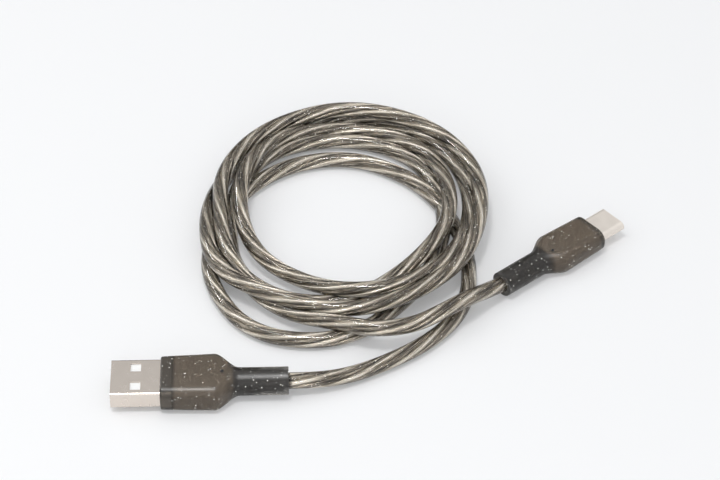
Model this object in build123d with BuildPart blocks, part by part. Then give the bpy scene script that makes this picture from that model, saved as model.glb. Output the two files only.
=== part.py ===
"""Charging cable with a USB-A plug and a USB-C plug, lying in a loose coil of five turns.

Units are millimetres.  +Z is up and the cable lies on z = 0.  The origin is the middle of the
whole object's footprint.  Each plug has its own plane: local x runs from the end of its strain
relief, where the cable enters, towards the tip of its metal shell, local y is its width and
local z is up.
"""
import os
from math import cos, pi, radians, sin, tan

from build123d import *

os.makedirs("parts", exist_ok=True)

# ---------------------------------------------------------------- driving dimensions
CABLE_DIAMETER = 4.0
CABLE_RADIUS = CABLE_DIAMETER / 2

# where the cable enters each plug, and which way each plug points (degrees from +X)
USB_A_PLACE = (-20.6, -48.5)
USB_A_HEADING = 181.5
USB_C_PLACE = (31.5, -13.9)
USB_C_HEADING = 40.3

# USB-A plug: moulded housing, then the metal shell
USB_A_BODY = (14.5, 7.3)
USB_A_BODY_CORNER = 2.0
USB_A_NECK_DIAMETER = 6.8
USB_A_NECK = 11.7
USB_A_SHOULDER = 6.0
USB_A_HOUSING = 30.5
USB_A_EXPOSED = 11.8
USB_A_SHELL = (12.0, 4.5)
USB_A_SHELL_LENGTH = 18.75

# USB-C plug
USB_C_BODY = (11.3, 6.7)
USB_C_BODY_CORNER = 2.4
USB_C_NECK_DIAMETER = 6.4
USB_C_NECK = 12.0
USB_C_SHOULDER = 6.0
USB_C_HOUSING = 30.7
USB_C_EXPOSED = 7.7
USB_C_SHELL = (8.34, 2.56)
USB_C_SHELL_LENGTH = 13.2

# the hole at the end of each strain relief is a little wider than the cable
MOUTH_RADIUS = CABLE_RADIUS + 0.2
MOUTH_DEPTH = 1.2
CABLE_END = 9.0
MOULD_SLEEVE = 0.8
MOULD_CORNER = 1.6
CORNER_SLACK = 0.02
SLEEVE_OVERLAP = 1.0
RIM_ROUNDING = 0.35
NECK_OVERLAP = 0.01
PIN_MARK_RADIUS = 0.4
PIN_MARK_CUT = 3

# coil: centre, then the radius and the height of the cable's centre line at every 30 degrees,
# one row for each turn, counted anticlockwise from +X
COIL_CENTRE = (-6.7, 8.8)
TURN_STEP = 30
TURN_RADII = [
    [26.9, 24.9, 25.4, 27.8, 29.0, 30.0, 33.7, 39.2, 44.1, 40.0, 29.5, 24.4],
    [23.9, 26.7, 32.8, 35.5, 36.2, 31.3, 29.3, 31.8, 30.8, 27.2, 22.7, 22.8],
    [25.2, 29.0, 36.4, 39.8, 37.8, 30.6, 26.6, 25.2, 23.4, 26.9, 28.5, 29.4],
    [30.4, 34.0, 41.0, 45.7, 41.0, 36.6, 35.2, 37.4, 34.0, 34.7, 32.5, 32.3],
    [33.2, 37.0, 41.9, 44.8, 41.4, 36.4, 31.6, 32.0, 33.6, 38.0],
]
TURN_HEIGHTS = [
    [2.0, 2.0, 2.0, 2.0, 2.0, 2.0, 2.0, 2.0, 2.0, 2.0, 2.0, 2.0],
    [2.0, 2.0, 2.0, 2.2, 2.2, 5.2, 3.4, 2.0, 2.0, 2.0, 3.4, 5.8],
    [6.0, 5.6, 3.4, 2.2, 5.2, 8.4, 6.0, 4.2, 3.0, 5.6, 6.0, 6.0],
    [5.4, 4.8, 3.6, 2.2, 2.2, 2.4, 6.0, 5.6, 5.8, 6.0, 6.0, 6.0],
    [7.4, 7.2, 6.2, 5.8, 6.0, 6.6, 6.6, 6.0, 2.6, 5.4],
]

# the cable between each plug and the coil, by hand, from the plug to the coil
LEAD_A_POINTS = [
    (-14.1, -47.9, 3.1),
    (-5.6, -45.1, 2.2),
    (3.6, -40.5, 2.0),
    (12.4, -34.3, 2.0),
    (19.8, -26.1, 2.0),
    (23.6, -16.7, 2.0),
    (24.3, -7.3, 2.0),
    (23.0, 1.3, 2.0),
]
LEAD_C_POINTS = [
    (27.5, -17.3, 4.2),
    (23.3, -21.9, 6.4),
    (17.7, -26.6, 6.8),
    (9.8, -30.9, 5.8),
    (0.8, -32.9, 6.2),
    (-6.7, -30.3, 5.4),
]


# ---------------------------------------------------------------- planes and helpers
def plug_plane(place, heading, height):
    """The plane of a plug: x towards its tip, z up."""
    turn = radians(heading)
    return Plane(origin=(place[0], place[1], height), x_dir=(cos(turn), sin(turn), 0), z_dir=(0, 0, 1))


def across(plug, distance, side=0.0, rise=0.0):
    """The plane across a plug at a distance from its cable end; its x is the plug's width."""
    origin = plug.from_local_coords((distance, side, rise))
    return Plane(origin=origin, x_dir=plug.y_dir, z_dir=plug.x_dir)


def block(plug, start, length, side, width, low, height):
    """A box in a plug's frame, outside any builder, for cutting or joining."""
    centre = plug.from_local_coords((start + length / 2, side, low + height / 2))
    turned = Plane(origin=centre, x_dir=plug.x_dir, z_dir=plug.z_dir)
    return turned * Box(length, width, height, mode=Mode.PRIVATE)


def smooth(t):
    """An S curve from 0 to 1."""
    return t * t * (3 - 2 * t)


def shoulder_sections(plug, body, corner, neck_diameter, start, length, count=6):
    """Sections that swell from the round neck to the housing's section."""
    sections = []
    neck_radius = neck_diameter / 2
    for index in range(count + 1):
        t = smooth(index / count)
        width = neck_diameter + (body[0] - neck_diameter) * t
        height = neck_diameter + (body[1] - neck_diameter) * t
        radius = min(neck_radius + (corner - neck_radius) * t, min(width, height) / 2 - CORNER_SLACK)
        with BuildSketch(across(plug, start + length * index / count)) as section:
            RectangleRounded(width, height, radius)
        sections.append(section.sketch.face())
    return sections


def mould_shape(plug, nose, body, start, taper, end):
    """The outside of an inner mould: a sleeve round the ferrule, a tapered nose and a block."""
    with BuildPart(mode=Mode.PRIVATE) as shape:
        with BuildSketch(across(plug, start)):
            RectangleRounded(*nose, MOULD_CORNER)
        with BuildSketch(across(plug, start + taper)):
            RectangleRounded(*body, MOULD_CORNER)
        loft()
        with BuildSketch(across(plug, start + taper)):
            RectangleRounded(*body, MOULD_CORNER)
        extrude(amount=end - start - taper)
        with BuildSketch(across(plug, MOUTH_DEPTH + CABLE_END - SLEEVE_OVERLAP)):
            Circle(CABLE_RADIUS + MOULD_SLEEVE)
        extrude(amount=start - MOUTH_DEPTH - CABLE_END + SLEEVE_OVERLAP)
    return shape.part


def save(piece, name):
    piece.part.label = name
    export_step(piece.part, f"parts/{name}.step")


USB_A = plug_plane(USB_A_PLACE, USB_A_HEADING, USB_A_BODY[1] / 2)
USB_C = plug_plane(USB_C_PLACE, USB_C_HEADING, USB_C_BODY[1] / 2)

# ---------------------------------------------------------------- USB-A plug
A_TIP = USB_A_HOUSING + USB_A_EXPOSED
A_SHELL_START = A_TIP - USB_A_SHELL_LENGTH
A_WALL = 0.3
A_SHELL_CORNER = 0.5
A_INNER = (USB_A_SHELL[0] - 2 * A_WALL, USB_A_SHELL[1] - 2 * A_WALL)
A_WINDOW = (2.5, 2.7)
A_WINDOW_SIDE = 3.15
A_WINDOW_FROM_TIP = 5.9

# drawn shell with two latch windows in its top and two in its bottom
with BuildPart() as usb_a_shell:
    with BuildSketch(across(USB_A, A_SHELL_START)):
        RectangleRounded(*USB_A_SHELL, A_SHELL_CORNER)
        RectangleRounded(*A_INNER, A_SHELL_CORNER - A_WALL, mode=Mode.SUBTRACT)
    extrude(amount=USB_A_SHELL_LENGTH)
    window_centre = USB_A.from_local_coords((A_TIP - A_WINDOW_FROM_TIP, 0, 0))
    with BuildSketch(Plane(origin=window_centre, x_dir=USB_A.x_dir, z_dir=(0, 0, 1))):
        with Locations((0, A_WINDOW_SIDE), (0, -A_WINDOW_SIDE)):
            Rectangle(*A_WINDOW)
    extrude(amount=USB_A_SHELL[1], both=True, mode=Mode.SUBTRACT)
save(usb_a_shell, "usb_a_shell")

# insulator: a tongue under the shell's top and a full block behind it
A_TONGUE_GAP = 0.5
A_TONGUE_HEIGHT = 1.9
A_BLOCK = 6.2
# each pad's side and how far its front is behind the shell's tip; the power pads reach further
A_PADS = [(-3.5, 1.2), (-1.0, 2.2), (1.0, 2.2), (3.5, 1.2)]
A_PAD = (1.0, 0.3)
A_PAD_LOW = A_INNER[1] / 2 - A_TONGUE_HEIGHT
A_TAIL_END = A_SHELL_START - 2.4
A_SLACK = 0.06

with BuildPart() as usb_a_contacts:
    for side, setback in A_PADS:
        add(block(USB_A, A_TAIL_END, A_TIP - setback - A_TAIL_END, side, A_PAD[0], A_PAD_LOW, A_PAD[1]))
save(usb_a_contacts, "usb_a_contacts")

with BuildPart() as usb_a_insulator:
    width, height = A_INNER[0] - 2 * A_SLACK, A_INNER[1] - 2 * A_SLACK
    tongue_start = A_SHELL_START + A_BLOCK
    tongue = A_TIP - A_TONGUE_GAP - tongue_start
    add(block(USB_A, A_SHELL_START, A_BLOCK, 0, width, -height / 2, height))
    add(block(USB_A, tongue_start, tongue, 0, width, A_PAD_LOW, A_TONGUE_HEIGHT - A_SLACK))
    add(usb_a_contacts.part, mode=Mode.SUBTRACT)
save(usb_a_insulator, "usb_a_insulator")

# cable end held in the strain relief, its ferrule and its four insulated conductors
CONDUCTOR_RADIUS = 0.5
CONDUCTOR_BEND = 0.9
CONDUCTOR_SLANT = 2.4
FERRULE_WALL = 0.35
FERRULE = 3.2

with BuildPart() as usb_a_cable_end:
    with BuildSketch(across(USB_A, MOUTH_DEPTH)):
        Circle(CABLE_RADIUS)
    extrude(amount=CABLE_END)
save(usb_a_cable_end, "usb_a_cable_end")

with BuildPart() as usb_a_ferrule:
    with BuildSketch(across(USB_A, MOUTH_DEPTH + CABLE_END - FERRULE)):
        Circle(CABLE_RADIUS + FERRULE_WALL)
        Circle(CABLE_RADIUS, mode=Mode.SUBTRACT)
    extrude(amount=FERRULE)
save(usb_a_ferrule, "usb_a_ferrule")


def conductor(plug, start, starts_at, end, ends_at, radius):
    """One insulated conductor that fans out from the cable end to its pad."""
    half = (start + end) / 2
    points = [
        plug.from_local_coords((start, *starts_at)),
        plug.from_local_coords((half - CONDUCTOR_SLANT / 2, *starts_at)),
        plug.from_local_coords((half + CONDUCTOR_SLANT / 2, *ends_at)),
        plug.from_local_coords((end, *ends_at)),
    ]
    with BuildPart(mode=Mode.PRIVATE) as wire:
        with BuildLine():
            run = FilletPolyline(*points, radius=CONDUCTOR_BEND)
        with BuildSketch(Plane(origin=run @ 0, z_dir=run % 0)):
            Circle(radius)
        sweep(path=run)
    return wire.part


A_WIRE_START = MOUTH_DEPTH + CABLE_END
A_WIRE_END = A_TAIL_END + 0.2
A_WIRE_RISE = A_PAD_LOW - CONDUCTOR_RADIUS - 0.01
WIRE_STARTS = [(-0.7, -0.7), (-0.7, 0.7), (0.7, 0.7), (0.7, -0.7)]

a_wires = [
    conductor(USB_A, A_WIRE_START, begin, A_WIRE_END, (side, A_WIRE_RISE), CONDUCTOR_RADIUS)
    for begin, (side, _) in zip(WIRE_STARTS, A_PADS)
]
A_WIRE_NAMES = ["usb_a_wire_black", "usb_a_wire_green", "usb_a_wire_white", "usb_a_wire_red"]
for name, wire in zip(A_WIRE_NAMES, a_wires):
    wire.label = name
    export_step(wire, f"parts/{name}.step")

# four solder joints, one round each conductor's end and under its tail
A_SOLDER = (1.4, 1.1, 0.55)
with BuildPart() as usb_a_solder:
    for side, _ in A_PADS:
        add(block(USB_A, A_WIRE_END, A_SOLDER[0], side, A_SOLDER[1], A_PAD_LOW - A_SOLDER[2], A_SOLDER[2]))
save(usb_a_solder, "usb_a_solder")

# stiff inner mould round the joints and the back of the shell
A_MOULD = (12.9, 6.1)
A_MOULD_NOSE = (9.2, 5.4)
A_MOULD_TAPER = 3.2
A_MOULD_START = 14.6
A_DARK_BAND = 2.8
A_MOULD_END = USB_A_HOUSING - A_DARK_BAND
a_mould_shape = mould_shape(USB_A, A_MOULD_NOSE, A_MOULD, A_MOULD_START, A_MOULD_TAPER, A_MOULD_END)
with BuildPart() as usb_a_inner_mould:
    add(a_mould_shape)
    for held in [usb_a_cable_end.part, usb_a_ferrule.part, usb_a_solder.part, usb_a_contacts.part,
                 *a_wires]:
        add(held, mode=Mode.SUBTRACT)
    with BuildSketch(across(USB_A, A_SHELL_START)):
        RectangleRounded(*USB_A_SHELL, A_SHELL_CORNER)
    extrude(amount=USB_A_SHELL_LENGTH, mode=Mode.SUBTRACT)
save(usb_a_inner_mould, "usb_a_inner_mould")

# translucent outer mould: flat body, waisted shoulder and round strain relief
A_PIN_MARK = (15.8, 0, 3.1)
a_shoulder = shoulder_sections(
    USB_A, USB_A_BODY, USB_A_BODY_CORNER, USB_A_NECK_DIAMETER, USB_A_NECK, USB_A_SHOULDER
)
with BuildPart() as usb_a_outer_mould:
    with BuildSketch(across(USB_A, USB_A_HOUSING)):
        RectangleRounded(*USB_A_BODY, USB_A_BODY_CORNER)
    extrude(amount=-(USB_A_HOUSING - USB_A_NECK - USB_A_SHOULDER))
    front = usb_a_outer_mould.faces().sort_by(Axis(USB_A.origin, USB_A.x_dir))[-1]
    fillet(front.edges(), RIM_ROUNDING)
    loft(a_shoulder)
    with BuildSketch(across(USB_A, 0)):
        Circle(USB_A_NECK_DIAMETER / 2)
    extrude(amount=USB_A_NECK + NECK_OVERLAP)
    with BuildSketch(across(USB_A, 0)):
        Circle(MOUTH_RADIUS)
    extrude(amount=MOUTH_DEPTH, mode=Mode.SUBTRACT)
    with BuildSketch(Plane(origin=USB_A.from_local_coords(A_PIN_MARK), z_dir=(0, 0, 1))):
        Circle(PIN_MARK_RADIUS)
    extrude(amount=PIN_MARK_CUT, mode=Mode.SUBTRACT)
    add(a_mould_shape, mode=Mode.SUBTRACT)
    with BuildSketch(across(USB_A, MOUTH_DEPTH)):
        Circle(CABLE_RADIUS)
    extrude(amount=CABLE_END, mode=Mode.SUBTRACT)
    with BuildSketch(across(USB_A, MOUTH_DEPTH + CABLE_END - FERRULE)):
        Circle(CABLE_RADIUS + FERRULE_WALL)
    extrude(amount=FERRULE, mode=Mode.SUBTRACT)
    with BuildSketch(across(USB_A, A_SHELL_START)):
        RectangleRounded(*USB_A_SHELL, A_SHELL_CORNER)
    extrude(amount=USB_A_SHELL_LENGTH, mode=Mode.SUBTRACT)
save(usb_a_outer_mould, "usb_a_outer_mould")

# ---------------------------------------------------------------- USB-C plug
C_TIP = USB_C_HOUSING + USB_C_EXPOSED
C_SHELL_START = C_TIP - USB_C_SHELL_LENGTH
C_WALL = 0.28
C_INNER = (USB_C_SHELL[0] - 2 * C_WALL, USB_C_SHELL[1] - 2 * C_WALL)
C_SHELL_CORNER = USB_C_SHELL[1] / 2 - 0.01

# seamless stadium shell, open at both ends
with BuildPart() as usb_c_shell:
    with BuildSketch(across(USB_C, C_SHELL_START)):
        RectangleRounded(*USB_C_SHELL, C_SHELL_CORNER)
        RectangleRounded(*C_INNER, C_SHELL_CORNER - C_WALL, mode=Mode.SUBTRACT)
    extrude(amount=USB_C_SHELL_LENGTH)
save(usb_c_shell, "usb_c_shell")

# insulator with the tongue's slot, a channel for each row of contacts and one for each latch arm
C_FRONT = C_TIP - 0.2
C_SLOT = (6.2, 0.8)
C_SLOT_DEPTH = 6.6
C_CHANNEL = (0.3, 0.46)
C_CHANNEL_WIDTH = 5.9
C_LATCH_CHANNEL = (0.62, 0.84)
C_LATCH_CHANNEL_SIDE = 3.24
C_FRONT_LIP = 0.9
C_INSULATOR = 10.2
C_INSULATOR_SLACK = 0.02
C_INSULATOR_START = C_FRONT - C_INSULATOR
C_BACK_WALL = C_FRONT - C_SLOT_DEPTH
C_LATCH_ROOT = C_INSULATOR_START + 1.5
C_PLATE = (5.0, 0.15)
C_PLATE_FRONT = C_BACK_WALL - 0.2
CUT_PAST = 1

with BuildPart() as usb_c_insulator:
    width, height = C_INNER[0] - 2 * C_INSULATOR_SLACK, C_INNER[1] - 2 * C_INSULATOR_SLACK
    with BuildSketch(across(USB_C, C_INSULATOR_START)):
        RectangleRounded(width, height, height / 2 - C_INSULATOR_SLACK)
    extrude(amount=C_INSULATOR)
    slot = block(USB_C, C_BACK_WALL, C_SLOT_DEPTH + CUT_PAST, 0, C_SLOT[0], -C_SLOT[1] / 2, C_SLOT[1])
    add(slot, mode=Mode.SUBTRACT)
    channel = C_INSULATOR + CUT_PAST - C_FRONT_LIP
    for low in (C_CHANNEL[0], -C_CHANNEL[0] - C_CHANNEL[1]):
        row = block(USB_C, C_INSULATOR_START - CUT_PAST, channel, 0, C_CHANNEL_WIDTH, low, C_CHANNEL[1])
        add(row, mode=Mode.SUBTRACT)
    arm_run = C_FRONT - C_FRONT_LIP - C_LATCH_ROOT
    width, height = C_LATCH_CHANNEL
    for side in (-C_LATCH_CHANNEL_SIDE, C_LATCH_CHANNEL_SIDE):
        add(block(USB_C, C_LATCH_ROOT, arm_run, side, width, -height / 2, height), mode=Mode.SUBTRACT)
    plate_slot = C_PLATE_FRONT - C_INSULATOR_START + CUT_PAST
    width, height = C_PLATE
    add(block(USB_C, C_INSULATOR_START - CUT_PAST, plate_slot, 0, width, -height / 2, height),
        mode=Mode.SUBTRACT)
save(usb_c_insulator, "usb_c_insulator")

# spring contacts: seven above the slot and four below it, each a thin beam with a raised tip
C_BEAM = (0.26, 0.1)
C_BEAM_LOW = 0.44
C_BEAM_TIP = C_FRONT - C_FRONT_LIP - 0.5
C_BUMP = (0.5, 0.14)
C_BUMP_SETBACK = 0.9
C_TAIL = 1.5
C_UPPER_SIDES = [-2.75, -1.25, -0.75, -0.25, 0.25, 1.25, 2.75]
C_LOWER_SIDES = [-2.75, -1.25, 1.25, 2.75]


def contact_row(sides, up):
    """Beams of one row; up is 1 above the slot and -1 below it."""
    beams = []
    for side in sides:
        low = C_BEAM_LOW if up > 0 else -C_BEAM_LOW - C_BEAM[1]
        bump_low = C_BEAM_LOW - C_BUMP[1] if up > 0 else -C_BEAM_LOW
        start = C_INSULATOR_START - C_TAIL
        beams.append(block(USB_C, start, C_BEAM_TIP - start, side, C_BEAM[0], low, C_BEAM[1]))
        beams.append(
            block(USB_C, C_BEAM_TIP - C_BUMP_SETBACK, C_BUMP[0], side, C_BEAM[0], bump_low, C_BUMP[1])
        )
    return beams


with BuildPart() as usb_c_upper_contacts:
    add(contact_row(C_UPPER_SIDES, 1))
save(usb_c_upper_contacts, "usb_c_upper_contacts")

with BuildPart() as usb_c_lower_contacts:
    add(contact_row(C_LOWER_SIDES, -1))
save(usb_c_lower_contacts, "usb_c_lower_contacts")

# two latch arms, one each side of the slot, with a hook near the tip that points inwards
C_ARM = (0.2, 0.6)
C_ARM_SIDE = 3.14
C_ARM_START = C_LATCH_ROOT + 0.03
C_HOOK = (0.6, 0.22)
C_HOOK_SETBACK = 1.3
for name, side in (("usb_c_latch_left", 1), ("usb_c_latch_right", -1)):
    with BuildPart() as latch:
        low = -C_ARM[1] / 2
        add(block(USB_C, C_ARM_START, C_BEAM_TIP - C_ARM_START, side * C_ARM_SIDE, C_ARM[0], low, C_ARM[1]))
        hook_side = side * (C_ARM_SIDE - C_ARM[0])
        add(block(USB_C, C_BEAM_TIP - C_HOOK_SETBACK, C_HOOK[0], hook_side, C_HOOK[1], low, C_ARM[1]))
    save(latch, name)

# steel plate between the two rows, from the back of the slot to the circuit board
C_PLATE_START = C_INSULATOR_START - 0.6
with BuildPart() as usb_c_mid_plate:
    length = C_PLATE_FRONT - C_PLATE_START
    add(block(USB_C, C_PLATE_START, length, 0, C_PLATE[0], -C_PLATE[1] / 2, C_PLATE[1]))
save(usb_c_mid_plate, "usb_c_mid_plate")

# circuit board between the contact tails, with the pull-up resistor that marks a legacy cable
C_BOARD = (8.4, 6.6, 0.6)
C_BOARD_END = C_INSULATOR_START - 0.65
C_BOARD_START = C_BOARD_END - C_BOARD[0]
with BuildPart() as usb_c_circuit_board:
    add(block(USB_C, C_BOARD_START, C_BOARD[0], 0, C_BOARD[1], -C_BOARD[2] / 2, C_BOARD[2]))
save(usb_c_circuit_board, "usb_c_circuit_board")

C_RESISTOR = (1.0, 0.5, 0.35)
C_RESISTOR_PLACE = (4.4, 1.9)
with BuildPart() as usb_c_resistor:
    length, width, height = C_RESISTOR
    start, side = C_BOARD_START + C_RESISTOR_PLACE[0], C_RESISTOR_PLACE[1]
    add(block(USB_C, start, length, side, width, C_BOARD[2] / 2, height))
save(usb_c_resistor, "usb_c_resistor")

# cable end, ferrule and conductors
with BuildPart() as usb_c_cable_end:
    with BuildSketch(across(USB_C, MOUTH_DEPTH)):
        Circle(CABLE_RADIUS)
    extrude(amount=CABLE_END)
save(usb_c_cable_end, "usb_c_cable_end")

with BuildPart() as usb_c_ferrule:
    with BuildSketch(across(USB_C, MOUTH_DEPTH + CABLE_END - FERRULE)):
        Circle(CABLE_RADIUS + FERRULE_WALL)
        Circle(CABLE_RADIUS, mode=Mode.SUBTRACT)
    extrude(amount=FERRULE)
save(usb_c_ferrule, "usb_c_ferrule")

C_WIRE_SIDES = [-2.4, -0.8, 0.8, 2.4]
C_WIRE_END = C_BOARD_START + 1.6
C_WIRE_RISE = C_BOARD[2] / 2 + CONDUCTOR_RADIUS + 0.01
c_wires = [
    conductor(USB_C, MOUTH_DEPTH + CABLE_END, begin, C_WIRE_END, (side, C_WIRE_RISE), CONDUCTOR_RADIUS)
    for begin, side in zip(WIRE_STARTS, C_WIRE_SIDES)
]
C_WIRE_NAMES = ["usb_c_wire_black", "usb_c_wire_green", "usb_c_wire_white", "usb_c_wire_red"]
for name, wire in zip(C_WIRE_NAMES, c_wires):
    wire.label = name
    export_step(wire, f"parts/{name}.step")

C_SOLDER = (1.0, 1.1, 0.6)
with BuildPart() as usb_c_solder:
    for side in C_WIRE_SIDES:
        add(block(USB_C, C_WIRE_END, C_SOLDER[0], side, C_SOLDER[1], C_BOARD[2] / 2, C_SOLDER[2]))
save(usb_c_solder, "usb_c_solder")

# stiff inner mould round the joints, the circuit board and the back of the shell
C_MOULD = (9.9, 5.2)
C_MOULD_NOSE = (7.0, 4.8)
C_MOULD_TAPER = 3.2
C_MOULD_START = 15.0
C_RIM = 1.0
C_MOULD_END = USB_C_HOUSING - C_RIM
c_mould_shape = mould_shape(USB_C, C_MOULD_NOSE, C_MOULD, C_MOULD_START, C_MOULD_TAPER, C_MOULD_END)
with BuildPart() as usb_c_inner_mould:
    add(c_mould_shape)
    for held in [usb_c_cable_end.part, usb_c_ferrule.part, usb_c_solder.part, usb_c_circuit_board.part,
                 usb_c_resistor.part, *c_wires]:
        add(held, mode=Mode.SUBTRACT)
    with BuildSketch(across(USB_C, C_SHELL_START)):
        RectangleRounded(*USB_C_SHELL, C_SHELL_CORNER)
    extrude(amount=USB_C_SHELL_LENGTH, mode=Mode.SUBTRACT)
save(usb_c_inner_mould, "usb_c_inner_mould")

# translucent outer mould, as on the other plug
C_PIN_MARK = (15.9, -1.4, 2.8)
c_shoulder = shoulder_sections(
    USB_C, USB_C_BODY, USB_C_BODY_CORNER, USB_C_NECK_DIAMETER, USB_C_NECK, USB_C_SHOULDER
)
with BuildPart() as usb_c_outer_mould:
    with BuildSketch(across(USB_C, USB_C_HOUSING)):
        RectangleRounded(*USB_C_BODY, USB_C_BODY_CORNER)
    extrude(amount=-(USB_C_HOUSING - USB_C_NECK - USB_C_SHOULDER))
    front = usb_c_outer_mould.faces().sort_by(Axis(USB_C.origin, USB_C.x_dir))[-1]
    fillet(front.edges(), RIM_ROUNDING)
    loft(c_shoulder)
    with BuildSketch(across(USB_C, 0)):
        Circle(USB_C_NECK_DIAMETER / 2)
    extrude(amount=USB_C_NECK)
    with BuildSketch(across(USB_C, 0)):
        Circle(MOUTH_RADIUS)
    extrude(amount=MOUTH_DEPTH, mode=Mode.SUBTRACT)
    with BuildSketch(Plane(origin=USB_C.from_local_coords(C_PIN_MARK), z_dir=(0, 0, 1))):
        Circle(PIN_MARK_RADIUS)
    extrude(amount=PIN_MARK_CUT, mode=Mode.SUBTRACT)
    add(c_mould_shape, mode=Mode.SUBTRACT)
    with BuildSketch(across(USB_C, MOUTH_DEPTH)):
        Circle(CABLE_RADIUS)
    extrude(amount=CABLE_END, mode=Mode.SUBTRACT)
    with BuildSketch(across(USB_C, MOUTH_DEPTH + CABLE_END - FERRULE)):
        Circle(CABLE_RADIUS + FERRULE_WALL)
    extrude(amount=FERRULE, mode=Mode.SUBTRACT)
    with BuildSketch(across(USB_C, C_SHELL_START)):
        RectangleRounded(*USB_C_SHELL, C_SHELL_CORNER)
    extrude(amount=USB_C_SHELL_LENGTH, mode=Mode.SUBTRACT)
save(usb_c_outer_mould, "usb_c_outer_mould")


# ---------------------------------------------------------------- cable
def coil_points():
    """The control points of the coil's turns, a little outside the centre line."""
    points = []
    outside = 1 / cos(radians(TURN_STEP / 2))
    for radii, heights in zip(TURN_RADII, TURN_HEIGHTS):
        for index, (radius, height) in enumerate(zip(radii, heights)):
            turn = radians(index * TURN_STEP)
            reach = radius * outside
            points.append((COIL_CENTRE[0] + reach * cos(turn), COIL_CENTRE[1] + reach * sin(turn), height))
    return points


def corner_radii(points):
    """The largest arc that each corner's two runs allow."""
    radii = []
    for before, corner, after in zip(points, points[1:], points[2:]):
        run_in = Vector(*corner) - Vector(*before)
        run_out = Vector(*after) - Vector(*corner)
        half_turn = radians(run_in.get_angle(run_out)) / 2
        radii.append(0.45 * min(run_in.length, run_out.length) / tan(half_turn))
    return radii


def lead(points, name):
    """A plain tube along straight runs joined by tangent arcs."""
    radii = corner_radii(points)
    with BuildPart() as tube:
        with BuildLine():
            run = FilletPolyline(*points, radius=radii)
        with BuildSketch(Plane(origin=run @ 0, z_dir=run % 0)):
            Circle(CABLE_RADIUS)
        sweep(path=run)
    section = pi * CABLE_RADIUS**2
    print(name, "corner radii", [round(radius, 1) for radius in radii])
    print(name, "length", round(run.length, 1), "volume / section", round(tube.part.volume / section, 1))
    save(tube, name)
    return run.length


lead_a_length = lead([tuple(USB_A.origin), *LEAD_A_POINTS], "cable_lead_a")
lead_c_length = lead([tuple(USB_C.origin), *LEAD_C_POINTS], "cable_lead_c")

# the coil's outer shape: a ring as wide as its turns spread at each direction
COIL_HEIGHT = 8.6
turns_at = [[row[index] for row in TURN_RADII if index < len(row)] for index in range(360 // TURN_STEP)]


def ring_line(radii):
    """Points round the coil's centre, one for each direction."""
    points = []
    for index, radius in enumerate(radii):
        turn = radians(index * TURN_STEP)
        points.append((COIL_CENTRE[0] + radius * cos(turn), COIL_CENTRE[1] + radius * sin(turn)))
    return points


with BuildPart() as cable_coil:
    with BuildSketch(Plane.XY):
        with BuildLine():
            Spline(*ring_line([max(radii) + CABLE_RADIUS for radii in turns_at]), periodic=True)
        make_face()
        with BuildLine():
            Spline(*ring_line([min(radii) - CABLE_RADIUS for radii in turns_at]), periodic=True)
        make_face(mode=Mode.SUBTRACT)
    extrude(amount=COIL_HEIGHT)
save(cable_coil, "cable_coil")

points = coil_points()
outside_length = sum((Vector(*b) - Vector(*a)).length for a, b in zip(points, points[1:]))
coil_length = outside_length * cos(radians(TURN_STEP / 2))
total = lead_a_length + coil_length + lead_c_length
print("cable", round(total), "mm, of which the coil", round(coil_length))
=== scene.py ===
"""Charging cable: the looks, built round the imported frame.  Metres, +Z up."""

import math

import bmesh
import bpy
import numpy as np
from mathutils import Matrix, Vector


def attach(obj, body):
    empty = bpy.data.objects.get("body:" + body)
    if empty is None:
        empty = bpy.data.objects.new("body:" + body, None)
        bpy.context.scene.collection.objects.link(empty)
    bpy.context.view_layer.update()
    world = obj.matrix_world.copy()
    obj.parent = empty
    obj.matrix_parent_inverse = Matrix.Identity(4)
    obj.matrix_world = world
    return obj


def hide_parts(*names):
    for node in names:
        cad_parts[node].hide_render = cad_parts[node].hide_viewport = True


bl_info = {
    "name": "Charging Cable Builder",
    "version": (1, 0, 0),
    "blender": (4, 5, 0),
    "location": "View3D > Sidebar > Charging Cable",
    "description": "Builds a loosely coiled charging cable with translucent jacket and plugs",
    "category": "Add Mesh",
}

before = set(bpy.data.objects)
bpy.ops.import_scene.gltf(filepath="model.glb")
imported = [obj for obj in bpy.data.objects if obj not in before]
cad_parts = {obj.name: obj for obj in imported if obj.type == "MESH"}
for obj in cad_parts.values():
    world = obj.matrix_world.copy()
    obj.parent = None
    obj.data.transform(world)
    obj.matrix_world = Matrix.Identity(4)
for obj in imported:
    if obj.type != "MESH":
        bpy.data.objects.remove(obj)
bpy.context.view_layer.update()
MM = 0.001

# ------------------------------------------------------------------ the plugs
USB_A_PLACE = Vector((-20.6, -48.5, 3.65)) * MM
USB_A_HEADING = math.radians(181.5)
USB_C_PLACE = Vector((31.5, -13.9, 3.35)) * MM
USB_C_HEADING = math.radians(40.3)
PLUGS = {
    "usb_a": {
        "place": USB_A_PLACE,
        "heading": USB_A_HEADING,
        "neck_diameter": 6.8 * MM,
        "neck": 11.7 * MM,
        "shoulder": 6.0 * MM,
        "length": 30.5 * MM,
        "body": (14.5 * MM, 7.3 * MM),
        "front": (13.9 * MM, 6.8 * MM),
        "corner": 2.2 * MM,
        "hollow_front": 27.7 * MM,
        "pin_mark": Vector((15.8, 0, 3.33)) * MM,
        "seed": 11,
    },
    "usb_c": {
        "place": USB_C_PLACE,
        "heading": USB_C_HEADING,
        "neck_diameter": 6.4 * MM,
        "neck": 12.0 * MM,
        "shoulder": 6.0 * MM,
        "length": 30.7 * MM,
        "body": (11.3 * MM, 6.7 * MM),
        "front": (10.8 * MM, 6.1 * MM),
        "corner": 2.7 * MM,
        "hollow_front": 29.7 * MM,
        "pin_mark": Vector((15.9, -1.4, 3.05)) * MM,
        "seed": 23,
    },
}
MOUTH_DIAMETER = 4.4 * MM
MOUTH_DEPTH = 1.2 * MM
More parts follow.
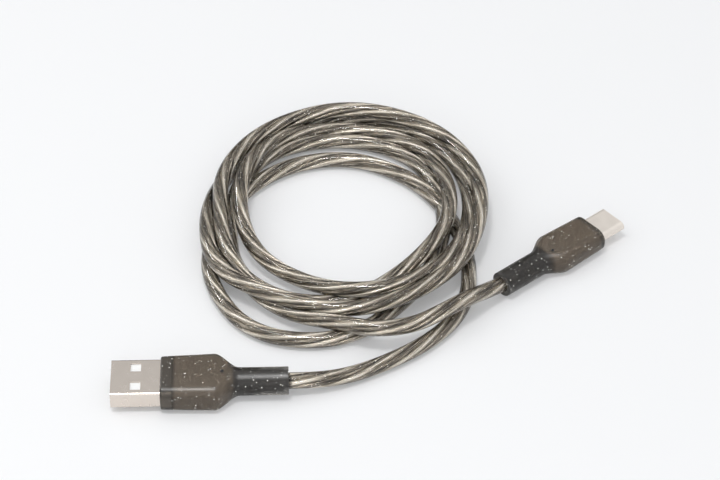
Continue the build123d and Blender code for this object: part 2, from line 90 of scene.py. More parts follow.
MOUTH_LIP = 0.12 * MM
FRONT_EDGE = 0.5 * MM
FRONT_EDGE_STEPS = 4
SHOULDER_STEPS = 12
CORNER_STEPS = 8
PIN_MARK_RADIUS = 0.38 * MM
PIN_MARK_DEPTH = 0.6 * MM

# ------------------------------------------------------------------ the cable's route
MOUTH_REACH = 0.6 * MM
COIL_CENTRE = Vector((-6.7, 8.8, 0)) * MM
TURN_STEP = 30
TURN_RADII = [
    [26.9, 24.9, 25.4, 27.8, 29.0, 30.0, 33.4, 39.2, 45.0, 40.9, 29.5, 24.4],
    [23.9, 26.7, 32.8, 35.5, 36.2, 31.3, 29.3, 31.8, 30.8, 27.2, 22.7, 22.8],
    [25.2, 29.0, 36.4, 39.8, 37.8, 30.6, 26.6, 25.2, 23.4, 26.9, 28.5, 29.4],
    [30.4, 34.0, 41.0, 45.7, 41.0, 36.6, 35.2, 37.4, 34.0, 34.7, 32.5, 32.3],
    [33.2, 37.0, 41.9, 44.8, 41.4, 36.4, 31.6, 33.0, 35.2, 38.2],
]
TURN_HEIGHTS = [
    [2.0, 2.0, 2.0, 2.0, 2.0, 2.0, 2.0, 2.0, 2.0, 2.0, 2.0, 2.0],
    [2.0, 2.0, 2.0, 2.2, 2.2, 5.2, 3.4, 2.0, 2.0, 2.0, 3.4, 5.8],
    [6.0, 5.6, 3.4, 2.2, 5.2, 8.4, 6.0, 4.2, 3.0, 5.6, 6.0, 6.0],
    [5.4, 4.8, 3.6, 2.2, 2.2, 2.4, 6.0, 5.6, 5.8, 6.0, 6.0, 6.0],
    [7.4, 7.2, 6.2, 5.8, 6.0, 6.6, 6.6, 6.0, 2.6, 5.4],
]
LEAD_A_POINTS = [
    (-14.1, -47.9, 3.1),
    (-5.6, -45.1, 2.2),
    (3.6, -40.1, 2.0),
    (12.2, -34.0, 2.0),
    (19.4, -26.0, 2.0),
    (23.1, -16.7, 2.0),
    (23.8, -7.3, 2.0),
    (23.0, 1.3, 2.0),
]
LEAD_C_POINTS = [
    (27.5, -17.3, 4.2),
    (23.3, -21.9, 6.4),
    (17.7, -26.6, 6.8),
    (9.8, -31.3, 5.8),
    (0.8, -33.3, 6.2),
]


def in_mouth(place, heading):
    """A point just inside the mouth of a plug's strain relief."""
    return place + Vector((math.cos(heading), math.sin(heading), 0)) * MOUTH_REACH


def route_points():
    """Control points from the USB-A plug, round the coil, to the USB-C plug, in metres."""
    points = [in_mouth(USB_A_PLACE, USB_A_HEADING)] + [Vector(p) * MM for p in LEAD_A_POINTS]
    outside = 1 / math.cos(math.radians(TURN_STEP / 2))
    for radii, heights in zip(TURN_RADII, TURN_HEIGHTS):
        for index, (radius, height) in enumerate(zip(radii, heights)):
            turn = math.radians(index * TURN_STEP)
            reach = radius * outside
            points.append(COIL_CENTRE + Vector((reach * math.cos(turn), reach * math.sin(turn), height)) * MM)
    points += [Vector(p) * MM for p in reversed(LEAD_C_POINTS)]
    return points + [in_mouth(USB_C_PLACE, USB_C_HEADING)]


def route_curve(name, points, resolution):
    """One open NURBS spline through the route's control points."""
    data = bpy.data.curves.new(name, "CURVE")
    data.dimensions = "3D"
    data.resolution_u = resolution
    data.twist_mode = "MINIMUM"
    spline = data.splines.new("NURBS")
    spline.points.add(len(points) - 1)
    for target, point in zip(spline.points, points):
        target.co = (*point, 1)
    spline.order_u = 3
    spline.use_endpoint_u = True
    curve = bpy.data.objects.new(name, data)
    bpy.context.scene.collection.objects.link(curve)
    return curve


def line_of(curve):
    """The points of a curve's line, as Blender evaluates it."""
    mesh = bpy.data.meshes.new_from_object(curve)
    line = np.array([v.co for v in mesh.vertices], float)
    bpy.data.meshes.remove(mesh)
    return line


def resampled(line, step):
    along = np.concatenate([[0], np.cumsum(np.linalg.norm(np.diff(line, axis=0), axis=1))])
    at = np.linspace(0, along[-1], int(along[-1] / step) + 1)
    return np.stack([np.interp(at, along, line[:, k]) for k in range(3)], axis=1), at


def frames_along(line):
    """Two unit vectors across the line at each point, carried along it without twist."""
    tangents = np.gradient(line, axis=0)
    tangents /= np.linalg.norm(tangents, axis=1)[:, None]
    across = np.zeros_like(line)
    side = np.cross(tangents[0], (0, 0, 1.0))
    for index, tangent in enumerate(tangents):
        side = side - tangent * (side @ tangent)
        side /= np.linalg.norm(side)
        across[index] = side
    return across, np.cross(tangents, across)


def tube_mesh(name, lines, radius, sides, lengths):
    """Closed tubes along several lines in one mesh, with a UV map of metres along and turns around."""
    vertices, faces, uvs = [], [], []
    for line, along in zip(lines, lengths):
        first, second = frames_along(line)
        base = sum(len(v) for v in vertices)
        turn = np.arange(sides) * 2 * math.pi / sides
        ring = first[:, None] * np.cos(turn)[None, :, None] + second[:, None] * np.sin(turn)[None, :, None]
        vertices.append((line[:, None] + radius * ring).reshape(-1, 3))
        for i in range(len(line) - 1):
            for j in range(sides):
                k = (j + 1) % sides
                faces.append((base + i * sides + j, base + i * sides + k,
                              base + (i + 1) * sides + k, base + (i + 1) * sides + j))
                uvs += [(along[i], j / sides), (along[i], (j + 1) / sides),
                        (along[i + 1], (j + 1) / sides), (along[i + 1], j / sides)]
        last = base + (len(line) - 1) * sides
        faces.append(tuple(base + j for j in reversed(range(sides))))
        faces.append(tuple(last + j for j in range(sides)))
        uvs += [(along[0], 0.5)] * sides + [(along[-1], 0.5)] * sides
    mesh = bpy.data.meshes.new(name)
    mesh.from_pydata(np.concatenate(vertices).tolist(), [], faces)
    layer = mesh.uv_layers.new(name="along")
    layer.data.foreach_set("uv", np.array(uvs, np.float32).ravel())
    mesh.shade_smooth()
    mesh.update()
    piece = bpy.data.objects.new(name, mesh)
    bpy.context.scene.collection.objects.link(piece)
    return piece


# ------------------------------------------------------------------ the mouldings' outside
def ring_of(width, height, corner):
    """A rounded rectangle's points, anticlockwise, the same count for any size."""
    corner = min(corner, width / 2, height / 2)
    points = []
    for quarter, (side, rise) in enumerate(((1, 1), (-1, 1), (-1, -1), (1, -1))):
        for step in range(CORNER_STEPS):
            turn = math.pi / 2 * (quarter + step / (CORNER_STEPS - 1))
            points.append((side * (width / 2 - corner) + corner * math.cos(turn),
                           rise * (height / 2 - corner) + corner * math.sin(turn)))
    return points


def mould_rings(plug):
    """(distance, width, height, corner) from the mouth's floor, round its lip, to the front face."""
    neck_diameter, corner = plug["neck_diameter"], plug["corner"]
    width, height = plug["body"]
    lip_diameter = neck_diameter - 2 * MOUTH_LIP
    rings = [
        (MOUTH_DEPTH, MOUTH_DIAMETER, MOUTH_DIAMETER, MOUTH_DIAMETER),
        (0, MOUTH_DIAMETER, MOUTH_DIAMETER, MOUTH_DIAMETER),
        (0, lip_diameter, lip_diameter, neck_diameter),
        (MOUTH_LIP, neck_diameter, neck_diameter, neck_diameter),
    ]
    for step in range(SHOULDER_STEPS + 1):
        t = step / SHOULDER_STEPS
        swell = t * t * (3 - 2 * t)
        rings.append((
            plug["neck"] + plug["shoulder"] * t,
            neck_diameter + (width - neck_diameter) * swell,
            neck_diameter + (height - neck_diameter) * swell,
            neck_diameter / 2 + (corner - neck_diameter / 2) * swell,
        ))
    front_width, front_height = plug["front"]
    for step in range(FRONT_EDGE_STEPS + 1):
        turn = math.pi / 2 * step / FRONT_EDGE_STEPS
        inset = 2 * FRONT_EDGE * (1 - math.cos(turn))
        distance = plug["length"] - FRONT_EDGE + FRONT_EDGE * math.sin(turn)
        rings.append((distance, front_width - inset, front_height - inset, corner - inset / 2))
    return rings


def mould_piece(name, plug):
    """A closed skin through the moulding's rings, with its place in its mesh."""
    rings = mould_rings(plug)
    count = 4 * CORNER_STEPS
    vertices = [(distance, side, rise) for distance, *size in rings for side, rise in ring_of(*size)]
    faces = [tuple(reversed(range(count))), tuple(range((len(rings) - 1) * count, len(rings) * count))]
    for low in range(0, (len(rings) - 1) * count, count):
        for j in range(count):
            k = (j + 1) % count
            faces.append((low + j, low + k, low + count + k, low + count + j))
    mesh = bpy.data.meshes.new(name)
    mesh.from_pydata(vertices, [], faces)
    shape = bmesh.new()
    shape.from_mesh(mesh)
    bmesh.ops.remove_doubles(shape, verts=shape.verts, dist=0.001 * MM)
    bmesh.ops.recalc_face_normals(shape, faces=shape.faces)
    shape.to_mesh(mesh)
    shape.free()
    mesh.transform(Matrix.Translation(plug["place"]) @ Matrix.Rotation(plug["heading"], 4, "Z"))
    mesh.shade_smooth()
    mesh.set_sharp_from_angle(angle=math.radians(38))
    piece = bpy.data.objects.new(name, mesh)
    bpy.context.scene.collection.objects.link(piece)
    return piece


def pin_mark(name, plug):
    """A small dark disc, flush with a moulding's top or just under it: painted shade for the shade inside the
    pin mark's small hole.
    """
    bpy.ops.mesh.primitive_cylinder_add(vertices=24, radius=PIN_MARK_RADIUS, depth=PIN_MARK_DEPTH)
    piece = bpy.context.object
    piece.name = name
    turn = Matrix.Rotation(plug["heading"], 4, "Z")
    piece.data.transform(Matrix.Translation(plug["place"]) @ turn @ Matrix.Translation(plug["pin_mark"]))
    return piece


# ------------------------------------------------------------------ materials
BAND_BLEND = 0.9 * MM


def new_material(name):
    material = bpy.data.materials.new(name)
    material.use_nodes = True
    tree = material.node_tree
    shader = tree.nodes["Principled BSDF"]
    return material, tree, shader


def grain_group():
    """Soft noise in object space, as a mask from 0 to 1."""
    group = bpy.data.node_groups.get("surface_grain")
    if group:
        return group
    group = bpy.data.node_groups.new("surface_grain", "ShaderNodeTree")
    scale = group.interface.new_socket("Scale", in_out="INPUT", socket_type="NodeSocketFloat")
    scale.default_value = 1000
    detail = group.interface.new_socket("Detail", in_out="INPUT", socket_type="NodeSocketFloat")
    detail.default_value = 3
    group.interface.new_socket("Mask", in_out="OUTPUT", socket_type="NodeSocketFloat")
    entry = group.nodes.new("NodeGroupInput")
    leave = group.nodes.new("NodeGroupOutput")
    place = group.nodes.new("ShaderNodeTexCoord")
    noise = group.nodes.new("ShaderNodeTexNoise")
    group.links.new(place.outputs["Object"], noise.inputs["Vector"])
    group.links.new(entry.outputs["Scale"], noise.inputs["Scale"])
    group.links.new(entry.outputs["Detail"], noise.inputs["Detail"])
    group.links.new(noise.outputs["Fac"], leave.inputs["Mask"])
    return group


def grain(tree, scale, detail=3.0):
    node = tree.nodes.new("ShaderNodeGroup")
    node.node_tree = grain_group()
    node.inputs["Scale"].default_value = scale
    node.inputs["Detail"].default_value = detail
    return node.outputs["Mask"]


def ramp(tree, source, stops):
    """A colour ramp of (position, colour) stops fed by source."""
    node = tree.nodes.new("ShaderNodeValToRGB")
    elements = node.color_ramp.elements
    elements[0].position, elements[0].color = stops[0][0], (*stops[0][1], 1)
    elements[1].position, elements[1].color = stops[-1][0], (*stops[-1][1], 1)
    for position, colour in stops[1:-1]:
        elements.new(position).color = (*colour, 1)
    tree.links.new(source, node.inputs["Fac"])
    return node.outputs["Color"]


def bump(tree, shader, height, strength, distance):
    node = tree.nodes.new("ShaderNodeBump")
    node.inputs["Strength"].default_value = strength
    node.inputs["Distance"].default_value = distance
    tree.links.new(height, node.inputs["Height"])
    tree.links.new(node.outputs["Normal"], shader.inputs["Normal"])


def spread_value(tree, source, low, high):
    node = tree.nodes.new("ShaderNodeMapRange")
    node.inputs["To Min"].default_value = low
    node.inputs["To Max"].default_value = high
    tree.links.new(source, node.inputs["Value"])
    return node.outputs["Result"]


def plain_material(name, dark, light, roughness, metallic=0.0, scale=900, bumps=0.1):
    """A moulded or plated finish with a slight drift of colour and gloss."""
    material, tree, shader = new_material(name)
    mask = grain(tree, scale)
    tree.links.new(ramp(tree, mask, [(0.3, dark), (0.7, light)]), shader.inputs["Base Color"])
    tree.links.new(spread_value(tree, mask, roughness * 0.8, roughness * 1.25), shader.inputs["Roughness"])
    shader.inputs["Metallic"].default_value = metallic
    bump(tree, shader, mask, bumps, 0.00002)
    return material


def jacket_material():
    """Clear jacket with a slight pale tint face-on, darkened towards its edges as the view grazes them:
    painted shade standing in for the dark refraction and reflection at the jacket's rims.
    """
    material, tree, shader = new_material("clear_jacket")
    # The slight pale tint face-on is the jacket's own; the darkening towards the rims is painted shade.
    facing = tree.nodes.new("ShaderNodeLayerWeight")
    facing.inputs["Blend"].default_value = 0.5
    tint_and_edge_shade = ramp(tree, facing.outputs["Facing"], [(0.35, (0.95, 0.93, 0.90)), (0.85, (0.22, 0.20, 0.18))])
    tree.links.new(tint_and_edge_shade, shader.inputs["Base Color"])
    shader.inputs["Transmission Weight"].default_value = 1.0
    shader.inputs["IOR"].default_value = 1.42
    mask = grain(tree, 700)
    tree.links.new(spread_value(tree, mask, 0.02, 0.07), shader.inputs["Roughness"])
    bump(tree, shader, mask, 0.15, 0.00003)
    return material


def streak_noise(tree, along, around, detail):
    """Noise on the piece's own map of metres along and turns around."""
    uv = tree.nodes.new("ShaderNodeUVMap")
    uv.uv_map = "along"
    stretch = tree.nodes.new("ShaderNodeMapping")
    stretch.inputs["Scale"].default_value = (along, around, 1)
    tree.links.new(uv.outputs["UV"], stretch.inputs["Vector"])
    noise = tree.nodes.new("ShaderNodeTexNoise")
    noise.inputs["Scale"].default_value = 1.0
    noise.inputs["Detail"].default_value = detail
    tree.links.new(stretch.outputs["Vector"], noise.inputs["Vector"])
    return noise.outputs["Fac"]


def strand_material(name, dark, mid, light):
    """Bundle of fine bright wires: streaks that run along the strand, and painted sparkles, near-white spots
    in the colour that stand in for glints.
    """
    material, tree, shader = new_material(name)
    streak = streak_noise(tree, 150, 16, 3.0)
    colour = ramp(tree, streak, [(0.34, dark), (0.5, mid), (0.64, light)])
    # Painted glints: small spots of near-white mixed into the wires' colour.
    painted_sparkle = ramp(tree, streak_noise(tree, 2600, 26, 1.0), [(0.66, (0, 0, 0)), (0.72, (1, 1, 1))])
    mix = tree.nodes.new("ShaderNodeMix")
    mix.data_type = "RGBA"
    tree.links.new(painted_sparkle, mix.inputs["Factor"])
    tree.links.new(colour, mix.inputs["A"])
    mix.inputs["B"].default_value = (1.0, 0.97, 0.90, 1)
    tree.links.new(mix.outputs["Result"], shader.inputs["Base Color"])
    shader.inputs["Metallic"].default_value = 0.8
    tree.links.new(spread_value(tree, streak, 0.42, 0.16), shader.inputs["Roughness"])
    bump(tree, shader, streak, 0.6, 0.00006)
    return material


def along_plug(tree, plug):
    """Metres along a plug from the end of its strain relief."""
    coordinates = tree.nodes.new("ShaderNodeTexCoord")
    local = tree.nodes.new("ShaderNodeMapping")
    local.vector_type = "TEXTURE"
    local.inputs["Location"].default_value = plug["place"]
    local.inputs["Rotation"].default_value = (0, 0, plug["heading"])
    split = tree.nodes.new("ShaderNodeSeparateXYZ")
    tree.links.new(coordinates.outputs["Object"], local.inputs["Vector"])
    tree.links.new(local.outputs["Vector"], split.inputs["Vector"])
    return split.outputs["X"]


def banded(tree, plug, bands):
    """Colours in bands along a plug: each band's start, as a distance, and its colour."""
    length = plug["length"]
    share = tree.nodes.new("ShaderNodeMapRange")
    share.inputs["From Max"].default_value = length
    tree.links.new(along_plug(tree, plug), share.inputs["Value"])
    stops = []
    for (start, colour), (end, _) in zip(bands, bands[1:] + [(length, None)]):
        stops += [(start / length, colour), ((end - BAND_BLEND) / length, colour)]
    return ramp(tree, share.outputs["Result"], stops)


def smoky_material(name, plug, edge):
    """Smoke-tinted translucent moulding, deeper in colour at the thick neck; the darkest band, over the
    hollow front, is painted shade for the shade inside that hollow.
    """
    material, tree, shader = new_material(name)
    # The neck colour is the thick plastic's own; the front colour is painted shade of the hollow behind it.
    neck, body, front = (0.30, 0.285, 0.265), (0.62, 0.565, 0.50), (0.13, 0.12, 0.105)
    tone = banded(tree, plug, [(0.0, neck), (edge, body), (plug["hollow_front"], front)])
    tree.links.new(tone, shader.inputs["Base Color"])
    shader.inputs["Transmission Weight"].default_value = 1.0
    shader.inputs["IOR"].default_value = 1.46
    mask = grain(tree, 900)
    tree.links.new(spread_value(tree, mask, 0.3, 0.4), shader.inputs["Roughness"])
    bump(tree, shader, mask, 0.12, 0.00002)
    return material


def inner_mould_material(name, plug, edge):
    """Brown-grey stiff mould with a dark sleeve."""
    material, tree, shader = new_material(name)
    tone = banded(tree, plug, [(0.0, (0.075, 0.067, 0.06)), (edge, (0.185, 0.15, 0.113))])
    tree.links.new(tone, shader.inputs["Base Color"])
    shader.inputs["Roughness"].default_value = 0.55
    return material


def fleck_painted_glint_material():
    """Glitter: small bright plates that glow a little, a painted glint standing in for the flash of light off
    each plate.
    """
    material, _, shader = new_material("glitter_and_painted_glint")
    shader.inputs["Base Color"].default_value = (0.97, 0.95, 0.90, 1)
    shader.inputs["Roughness"].default_value = 0.35
    # Painted glint: a faint glow on every fleck, though the flecks are no lamps.
    shader.inputs["Emission Color"].default_value = (1.0, 0.98, 0.93, 1)
    shader.inputs["Emission Strength"].default_value = 0.3
    return material


def set_material(piece, material):
    piece.data.materials.clear()
    piece.data.materials.append(material)


# ------------------------------------------------------------------ glitter
def fleck_tree():
    """Scatters six-sided plates over the faces of a mesh, a little under or over its surface."""
    tree = bpy.data.node_groups.get("fleck_scatter")
    if tree:
        return tree
    tree = bpy.data.node_groups.new("fleck_scatter", "GeometryNodeTree")
    tree.is_modifier = True
    face = tree.interface
    face.new_socket("Geometry", in_out="INPUT", socket_type="NodeSocketGeometry")
    for name, kind in (("Density", "Float"), ("Size", "Float"), ("Lift", "Float"), ("Tilt", "Float"),
                       ("Seed", "Int"), ("Material", "Material")):
        face.new_socket(name, in_out="INPUT", socket_type="NodeSocket" + kind)
    face.new_socket("Geometry", in_out="OUTPUT", socket_type="NodeSocketGeometry")
    node, link = tree.nodes.new, tree.links.new
    entry, leave = node("NodeGroupInput"), node("NodeGroupOutput")

    scatter = node("GeometryNodeDistributePointsOnFaces")
    link(entry.outputs["Geometry"], scatter.inputs["Mesh"])
    link(entry.outputs["Density"], scatter.inputs["Density"])
    link(entry.outputs["Seed"], scatter.inputs["Seed"])

    push = node("ShaderNodeVectorMath")
    push.operation = "SCALE"
    link(scatter.outputs["Normal"], push.inputs["Vector"])
    link(entry.outputs["Lift"], push.inputs["Scale"])
    move = node("GeometryNodeSetPosition")
    link(scatter.outputs["Points"], move.inputs["Geometry"])
    link(push.outputs["Vector"], move.inputs["Offset"])

    plate = node("GeometryNodeMeshCylinder")
    plate.inputs["Vertices"].default_value = 6
    plate.inputs["Radius"].default_value = 1.0
    plate.inputs["Depth"].default_value = 0.3

    lean = node("FunctionNodeRandomValue")
    lean.data_type = "FLOAT_VECTOR"
    lean.inputs["Min"].default_value = (-1, -1, -3)
    lean.inputs["Max"].default_value = (1, 1, 3)
    link(entry.outputs["Seed"], lean.inputs["Seed"])
    amount = node("ShaderNodeVectorMath")
    amount.operation = "SCALE"
    link(lean.outputs["Value"], amount.inputs["Vector"])
    link(entry.outputs["Tilt"], amount.inputs["Scale"])
    turn = node("FunctionNodeRotateRotation")
    turn.rotation_space = "LOCAL"
    euler = node("FunctionNodeEulerToRotation")
    link(amount.outputs["Vector"], euler.inputs["Euler"])
    link(scatter.outputs["Rotation"], turn.inputs["Rotation"])
    link(euler.outputs["Rotation"], turn.inputs["Rotate By"])

    spread = node("FunctionNodeRandomValue")
    spread.data_type = "FLOAT"
    spread.inputs[2].default_value = 0.35
    spread.inputs[3].default_value = 1.0
    link(entry.outputs["Seed"], spread.inputs["Seed"])
    size = node("ShaderNodeMath")
    size.operation = "MULTIPLY"
    link(spread.outputs[1], size.inputs[0])
    link(entry.outputs["Size"], size.inputs[1])

    place = node("GeometryNodeInstanceOnPoints")
    link(move.outputs["Geometry"], place.inputs["Points"])
    link(plate.outputs["Mesh"], place.inputs["Instance"])
    link(turn.outputs["Rotation"], place.inputs["Rotation"])
    link(size.outputs["Value"], place.inputs["Scale"])
    real = node("GeometryNodeRealizeInstances")
    link(place.outputs["Instances"], real.inputs["Geometry"])
    paint = node("GeometryNodeSetMaterial")
    link(real.outputs["Geometry"], paint.inputs["Geometry"])
    link(entry.outputs["Material"], paint.inputs["Material"])
    link(paint.outputs["Geometry"], leave.inputs["Geometry"])
    return tree


def scatter_flecks(name, surface, material, **values):
    """A mesh of flecks over a surface mesh, which is used up."""
    piece = bpy.data.objects.new(name, surface)
    bpy.context.scene.collection.objects.link(piece)
    modifier = piece.modifiers.new("flecks", "NODES")
    modifier.node_group = fleck_tree()
    values["Material"] = material
    for item in modifier.node_group.interface.items_tree:
        if item.in_out == "INPUT" and item.name in values:
            modifier[item.identifier] = values[item.name]
    bpy.context.view_layer.update()
    graph = bpy.context.evaluated_depsgraph_get()
    mesh = bpy.data.meshes.new_from_object(piece.evaluated_get(graph), depsgraph=graph)
    piece.modifiers.clear()
    piece.data = mesh
    set_material(piece, material)
    mesh.polygons.foreach_set("material_index", [0] * len(mesh.polygons))
    return piece


# ------------------------------------------------------------------ settings
class CableSettings(bpy.types.PropertyGroup):
    diameter: bpy.props.FloatProperty(
        name="Cable diameter", description="Outside of the jacket", default=4.0 * MM, unit="LENGTH")
    strands: bpy.props.IntProperty(
        name="Strands", description="Bundles of fine wire laid round the core", default=6, min=4, max=16)
    strand_radius: bpy.props.FloatProperty(
        name="Strand radius", description="Radius of one bundle", default=0.66 * MM, unit="LENGTH")
    strand_circle: bpy.props.FloatProperty(
        name="Strand circle", description="Radius of the circle that the bundles lie on", default=1.14 * MM,
        unit="LENGTH")
    lay_length: bpy.props.FloatProperty(
        name="Lay length", description="Length of one full twist", default=46 * MM, unit="LENGTH")
    fleck_density: bpy.props.FloatProperty(
        name="Fleck density", description="Glitter flecks in each square metre of jacket", default=2.4e5)
    fleck_size: bpy.props.FloatProperty(
        name="Fleck size", description="Radius of the largest fleck", default=0.17 * MM, unit="LENGTH")


class PlugSettings(bpy.types.PropertyGroup):
    usb_a_edge: bpy.props.FloatProperty(
        name="USB-A edge", description="Where the dark neck turns into the body", default=13.8 * MM,
        unit="LENGTH")
    usb_c_edge: bpy.props.FloatProperty(
        name="USB-C edge", description="Where the dark neck turns into the body", default=14.8 * MM,
        unit="LENGTH")
    fleck_density: bpy.props.FloatProperty(
        name="Fleck density", description="Glitter flecks in each square metre of moulding", default=2.6e5)
    fleck_size: bpy.props.FloatProperty(
        name="Fleck size", description="Radius of the largest fleck", default=0.135 * MM, unit="LENGTH")


class StageSettings(bpy.types.PropertyGroup):
    distance: bpy.props.FloatProperty(
        name="Camera distance", description="From the aim point", default=0.70, unit="LENGTH")
    elevation: bpy.props.FloatProperty(
        name="Camera elevation", description="Above the table", default=math.radians(41), subtype="ANGLE")
    lens: bpy.props.FloatProperty(name="Lens", description="Focal length in millimetres", default=137.5)
    sky: bpy.props.FloatProperty(name="Sky", description="Strength of the light from all round", default=0.80)
    key: bpy.props.FloatProperty(name="Key", description="Power of the key light in watts", default=2.8)
    fill: bpy.props.FloatProperty(name="Fill", description="Power of the fill light in watts", default=0.55)
    front: bpy.props.FloatProperty(
        name="Front", description="Power of the low front light in watts", default=0.7)
    glint: bpy.props.FloatProperty(
        name="Glint", description="Power of the strip that only shines", default=6.0)


# ------------------------------------------------------------------ operators
CAMERA_AIM = Vector((-3.6, 6.8, 0)) * MM
FLOOR_SIDE = 8.0
LINE_STEP = 1.5 * MM
STRAND_SIDES = 10
CORE_SIDES = 8
CORE_SHARE = 0.75
FLECK_DEPTH = 0.12 * MM
FLECK_BASE_SIDES = 12


class CABLE_OT_stage(bpy.types.Operator):
    """Adds the camera, the pale floor and the soft studio lights"""
    bl_idname = "charging_cable.stage"
    bl_label = "Stage"

    def execute(self, context):
        settings = context.scene.stage_settings
        back = Vector((0, -math.cos(settings.elevation), math.sin(settings.elevation)))
        camera = bpy.data.objects.new("camera", bpy.data.cameras.new("camera"))
        context.scene.collection.objects.link(camera)
        camera.location = CAMERA_AIM + back * settings.distance
        camera.rotation_euler = (-back).to_track_quat("-Z", "Y").to_euler()
        camera.data.lens = settings.lens
        camera.data.sensor_width = 36
        camera.data.clip_start = 0.01
        context.scene.camera = camera

        mesh = bpy.data.meshes.new("floor")
        half = FLOOR_SIDE / 2
        corners = [(-half, -half, 0), (half, -half, 0), (half, half, 0), (-half, half, 0)]
        mesh.from_pydata(corners, [], [(0, 1, 2, 3)])
        floor = bpy.data.objects.new("floor", mesh)
        context.scene.collection.objects.link(floor)
        material, _, shader = new_material("pale_floor")
        shader.inputs["Base Color"].default_value = (0.67, 0.67, 0.675, 1)
        shader.inputs["Emission Color"].default_value = (0.99, 0.995, 1.0, 1)
        shader.inputs["Emission Strength"].default_value = 0.2
        shader.inputs["Roughness"].default_value = 0.5
        set_material(floor, material)

        world = bpy.data.worlds.new("studio")
        context.scene.world = world
        world.use_nodes = True
        sky = world.node_tree
        coordinates = sky.nodes.new("ShaderNodeTexCoord")
        split = sky.nodes.new("ShaderNodeSeparateXYZ")
        sky.links.new(coordinates.outputs["Generated"], split.inputs["Vector"])
        tone = ramp(sky, split.outputs["Y"],
                    [(0.55, (0.97, 0.985, 1.0)), (0.75, (0.80, 0.805, 0.81)), (0.93, (0.03, 0.03, 0.032))])
        sky.links.new(tone, sky.nodes["Background"].inputs["Color"])
        sky.nodes["Background"].inputs["Strength"].default_value = settings.sky
        glint_power = settings.glint
        lights = [
            ("key", (-0.12, -0.16, 1.0), (0.2, 0.2), settings.key, True),
            ("fill", (-0.45, 0.12, 0.50), (0.4, 0.4), settings.fill, True),
            ("front", (0.0, -0.9, 0.35), (0.6, 0.3), settings.front, True),
            ("glint_above", (-0.10, -0.10, 0.95), (0.9, 0.08), glint_power, False),
            ("glint_behind", (-0.72, 0.46, 0.52), (0.4, 0.08), glint_power / 3, False),
        ]
        for name, place, (width, depth), power, lights_surfaces in lights:
            light = bpy.data.objects.new(name, bpy.data.lights.new(name, "AREA"))
            context.scene.collection.objects.link(light)
            light.data.shape = "RECTANGLE"
            light.data.size = width
            light.data.size_y = depth
            light.data.energy = power
            light.location = place
            light.rotation_euler = (-Vector(place)).to_track_quat("-Z", "Y").to_euler()
            light.visible_diffuse = lights_surfaces
            light.visible_transmission = lights_surfaces
        context.scene.view_settings.view_transform = "Standard"
        return {"FINISHED"}


class CABLE_OT_cable(bpy.types.Operator):
    """Builds the clear jacket and the twisted strands inside it"""
    bl_idname = "charging_cable.cable"
    bl_label = "Cable"

    def execute(self, context):
        settings = context.scene.cable_settings
        jacket = route_curve("cable_jacket", route_points(), 10)
        line, along = resampled(line_of(jacket), LINE_STEP)
        jacket.data.bevel_depth = settings.diameter / 2
        jacket.data.bevel_resolution = 5
        jacket.data.use_fill_caps = True
        set_material(jacket, jacket_material())

        first, second = frames_along(line)
        twist = -along * 2 * math.pi / settings.lay_length
        tones = [
            strand_material("strand_bright", (0.19, 0.16, 0.12), (0.74, 0.67, 0.57), (1.0, 0.97, 0.90)),
            strand_material("strand_dark", (0.018, 0.015, 0.012), (0.14, 0.12, 0.095), (0.60, 0.54, 0.45)),
        ]
        for tone, material in enumerate(tones):
            strands = []
            for index in range(tone, settings.strands, 2):
                turn = twist + index * 2 * math.pi / settings.strands
                strands.append(line + settings.strand_circle * (
                    first * np.cos(turn)[:, None] + second * np.sin(turn)[:, None]))
            distances = [along] * len(strands)
            piece = tube_mesh(material.name + "s", strands, settings.strand_radius, STRAND_SIDES, distances)
            set_material(piece, material)
            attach(piece, "cable")
        core = tube_mesh("cable_core", [line], settings.strand_circle * CORE_SHARE, CORE_SIDES, [along])
        set_material(core, plain_material("cable_core", (0.02, 0.018, 0.015), (0.06, 0.055, 0.045), 0.5))
        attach(core, "cable")
        inside_radius = settings.diameter / 2 - FLECK_DEPTH
        inside = tube_mesh("cable_flecks_base", [line], inside_radius, FLECK_BASE_SIDES, [along])
        surface = inside.data
        bpy.data.objects.remove(inside)
        flecks = scatter_flecks("cable_flecks", surface, fleck_painted_glint_material(), Density=settings.fleck_density,
                                Size=settings.fleck_size, Lift=0.0, Tilt=0.5, Seed=4)
        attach(flecks, "cable")
        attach(jacket, "cable")
        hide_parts("cable_coil", "cable_lead_a", "cable_lead_c")
        return {"FINISHED"}


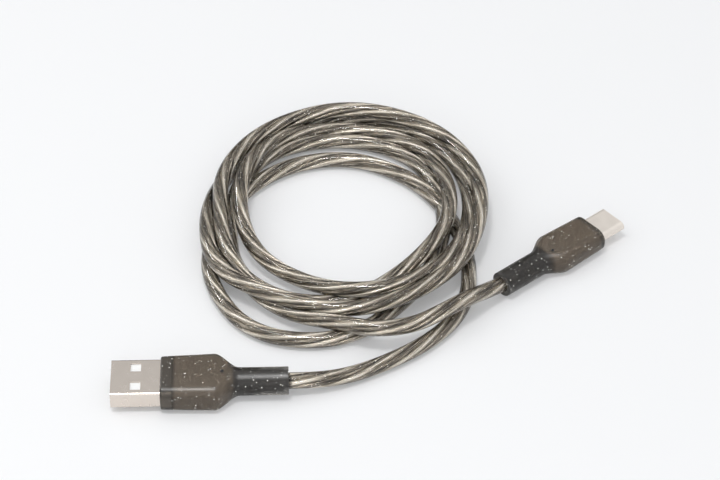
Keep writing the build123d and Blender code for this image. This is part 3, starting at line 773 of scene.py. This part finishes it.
class CABLE_OT_plugs(bpy.types.Operator):
    """Finishes both plugs: nickel shells, smoky moulds with glitter, insulators and contacts"""
    bl_idname = "charging_cable.plugs"
    bl_label = "Plugs"

    def execute(self, context):
        settings = context.scene.plug_settings
        nickel = plain_material("warm_nickel", (0.72, 0.65, 0.585), (0.74, 0.67, 0.605), 0.25, 1.0, 500, 0.0)
        finishes = {
            "usb_a_shell": nickel,
            "usb_c_shell": plain_material(
                "satin_nickel", (0.80, 0.735, 0.665), (0.82, 0.755, 0.685), 0.4, 0.65, 500, 0.0),
            "usb_a_insulator": plain_material("white_plastic", (0.86, 0.86, 0.85), (0.9, 0.9, 0.89), 0.45),
            "usb_c_insulator": plain_material(
                "black_plastic", (0.015, 0.015, 0.016), (0.03, 0.03, 0.03), 0.45),
            "contacts": plain_material("gold", (0.83, 0.6, 0.25), (0.9, 0.68, 0.32), 0.25, 1.0),
            "latch": plain_material("spring_steel", (0.5, 0.5, 0.5), (0.6, 0.6, 0.6), 0.3, 1.0),
            "mid_plate": plain_material("plate_steel", (0.45, 0.45, 0.46), (0.55, 0.55, 0.56), 0.35, 1.0),
            "ferrule": plain_material("dark_ferrule", (0.065, 0.058, 0.05), (0.08, 0.07, 0.06), 0.5),
            "solder": plain_material("solder_alloy", (0.6, 0.6, 0.62), (0.75, 0.75, 0.77), 0.3, 1.0),
            "circuit_board": plain_material("board_green", (0.01, 0.09, 0.03), (0.015, 0.13, 0.05), 0.4),
            "resistor": plain_material("resistor_black", (0.02, 0.02, 0.02), (0.04, 0.04, 0.04), 0.4),
            "cable_end": plain_material("cable_end_jacket", (0.06, 0.053, 0.046), (0.08, 0.07, 0.06), 0.45),
            "wire_red": plain_material("insulation_red", (0.5, 0.02, 0.02), (0.6, 0.03, 0.03), 0.4),
            "wire_white": plain_material("insulation_white", (0.75, 0.75, 0.73), (0.85, 0.85, 0.83), 0.4),
            "wire_green": plain_material("insulation_green", (0.02, 0.3, 0.06), (0.03, 0.38, 0.08), 0.4),
            "wire_black": plain_material("insulation_black", (0.015, 0.015, 0.015), (0.03, 0.03, 0.03), 0.4),
        }
        glitter_and_painted_glint = bpy.data.materials.get("glitter_and_painted_glint") or fleck_painted_glint_material()
        # Near-black for the pin marks: painted shade of their small holes.
        hole_shade_disc = plain_material("pin_mark", (0.01, 0.01, 0.01), (0.02, 0.02, 0.02), 0.6)
        for plug, sizes in PLUGS.items():
            edge = getattr(settings, plug + "_edge")
            for name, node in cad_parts.items():
                if not name.startswith(plug):
                    continue
                if name.endswith("inner_mould"):
                    material = inner_mould_material(plug + "_brown_mould", sizes, edge)
                else:
                    material = finishes.get(name) or next(
                        (finishes[part] for part in finishes if part in name), nickel)
                node.material_slots[0].material = material
            outer = mould_piece(plug + "_mould_skin", sizes)
            set_material(outer, smoky_material(plug + "_smoky_mould", sizes, edge))
            flecks = scatter_flecks(
                plug + "_flecks", outer.data.copy(), glitter_and_painted_glint,
                Density=settings.fleck_density, Size=settings.fleck_size, Lift=0.0, Tilt=0.2,
                Seed=sizes["seed"])
            mark = pin_mark(plug + "_pin_mark", sizes)
            set_material(mark, hole_shade_disc)
            for piece, slot in ((outer, "smoky_mould"), (flecks, "nickel_steel"), (mark, "black_insulator")):
                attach(piece, plug + "_plug")
            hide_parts(plug + "_outer_mould")
        return {"FINISHED"}


class CABLE_PT_builder(bpy.types.Panel):
    """Settings and buttons of the charging cable"""
    bl_idname = "CABLE_PT_builder"
    bl_label = "Charging Cable"
    bl_space_type = "VIEW_3D"
    bl_region_type = "UI"
    bl_category = "Charging Cable"

    def draw(self, context):
        scene = context.scene
        for settings, operator in (
            (scene.stage_settings, "charging_cable.stage"),
            (scene.plug_settings, "charging_cable.plugs"),
            (scene.cable_settings, "charging_cable.cable"),
        ):
            box = self.layout.box()
            for name in settings.__annotations__:
                box.prop(settings, name)
            box.operator(operator)


CLASSES = [CableSettings, PlugSettings, StageSettings, CABLE_OT_stage, CABLE_OT_plugs, CABLE_OT_cable,
           CABLE_PT_builder]


def register():
    for cls in CLASSES:
        bpy.utils.register_class(cls)
    bpy.types.Scene.cable_settings = bpy.props.PointerProperty(type=CableSettings)
    bpy.types.Scene.plug_settings = bpy.props.PointerProperty(type=PlugSettings)
    bpy.types.Scene.stage_settings = bpy.props.PointerProperty(type=StageSettings)


def unregister():
    del bpy.types.Scene.stage_settings
    del bpy.types.Scene.plug_settings
    del bpy.types.Scene.cable_settings
    for cls in reversed(CLASSES):
        bpy.utils.unregister_class(cls)


def main():
    register()
    bpy.ops.charging_cable.stage()
    bpy.ops.charging_cable.plugs()
    bpy.ops.charging_cable.cable()


if __name__ == "__main__":
    main()
